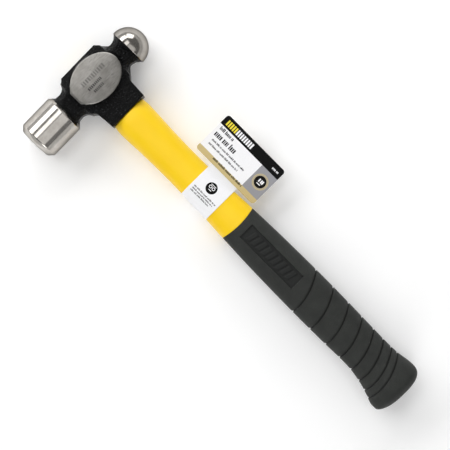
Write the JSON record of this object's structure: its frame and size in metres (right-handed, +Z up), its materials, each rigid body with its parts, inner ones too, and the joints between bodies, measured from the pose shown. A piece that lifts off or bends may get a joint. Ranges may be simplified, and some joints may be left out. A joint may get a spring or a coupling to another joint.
{
  "type": "ball peen hammer",
  "caption": "Ball peen hammer with a forged steel head on a jacketed fibreglass handle, a ribbed rubber grip and a card label.",
  "frame": {"origin": "middle of the lower cheek, on the surface that the hammer lies on, under the crossing of the head and handle axes", "axes": "+Z up through the cheeks, +Y along the handle towards the butt, +X along the head towards the striking face"},
  "size_m": [0.1068, 0.3174, 0.03],
  "materials": {
    "forged_steel": "face and ball polished, cheeks ground, the rest painted black",
    "resin": "cast epoxy, slightly cloudy",
    "fibreglass": "pultruded glass fibre, sawn end",
    "yellow_jacket": "satin moulded polypropylene",
    "black_rubber": "matte moulded rubber with a fine spark texture",
    "label_card": "coated printed card",
    "black_paint": "black paint over forging scale",
    "polished_steel": "turned and polished bright steel"
  },
  "bodies": {
    "root": {"head": "forged_steel", "eye_resin": "resin", "core_rod": "fibreglass", "handle_jacket": "yellow_jacket", "grip": "black_rubber", "flag_label": "label_card"}
  },
  "joints": []
}
